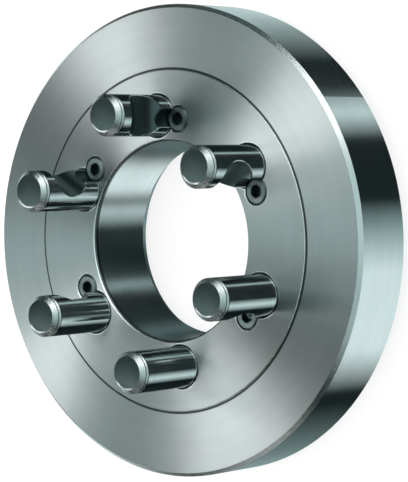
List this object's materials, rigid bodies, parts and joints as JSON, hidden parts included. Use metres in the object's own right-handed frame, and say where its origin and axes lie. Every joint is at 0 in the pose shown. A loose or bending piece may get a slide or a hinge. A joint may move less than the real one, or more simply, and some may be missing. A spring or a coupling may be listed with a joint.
{
  "type": "chuck adapter plate",
  "caption": "Steel lathe chuck adapter flange with short taper bore, raised seat ring, camlock studs and lock screws, and a register with tapped holes for the chuck.",
  "frame": {"origin": "on the spindle axis, in the end face of the chuck register, on which the plate stands", "axes": "+Z along the axis towards the spindle nose, the way the studs point; +X through stud 1"},
  "size_m": [0.25, 0.25, 0.0862],
  "materials": {
    "plate_steel": "turned, fine concentric tool marks",
    "stud_steel": "hardened and ground",
    "screw_steel": "plain, satin"
  },
  "bodies": {
    "root": {"adapter_plate": "plate_steel", "camlock_stud_1": "stud_steel", "camlock_stud_2": "stud_steel", "camlock_stud_3": "stud_steel", "camlock_stud_4": "stud_steel", "camlock_stud_5": "stud_steel", "camlock_stud_6": "stud_steel", "lock_screw_1": "screw_steel", "lock_screw_2": "screw_steel", "lock_screw_3": "screw_steel", "lock_screw_4": "screw_steel", "lock_screw_5": "screw_steel", "lock_screw_6": "screw_steel"}
  },
  "joints": []
}
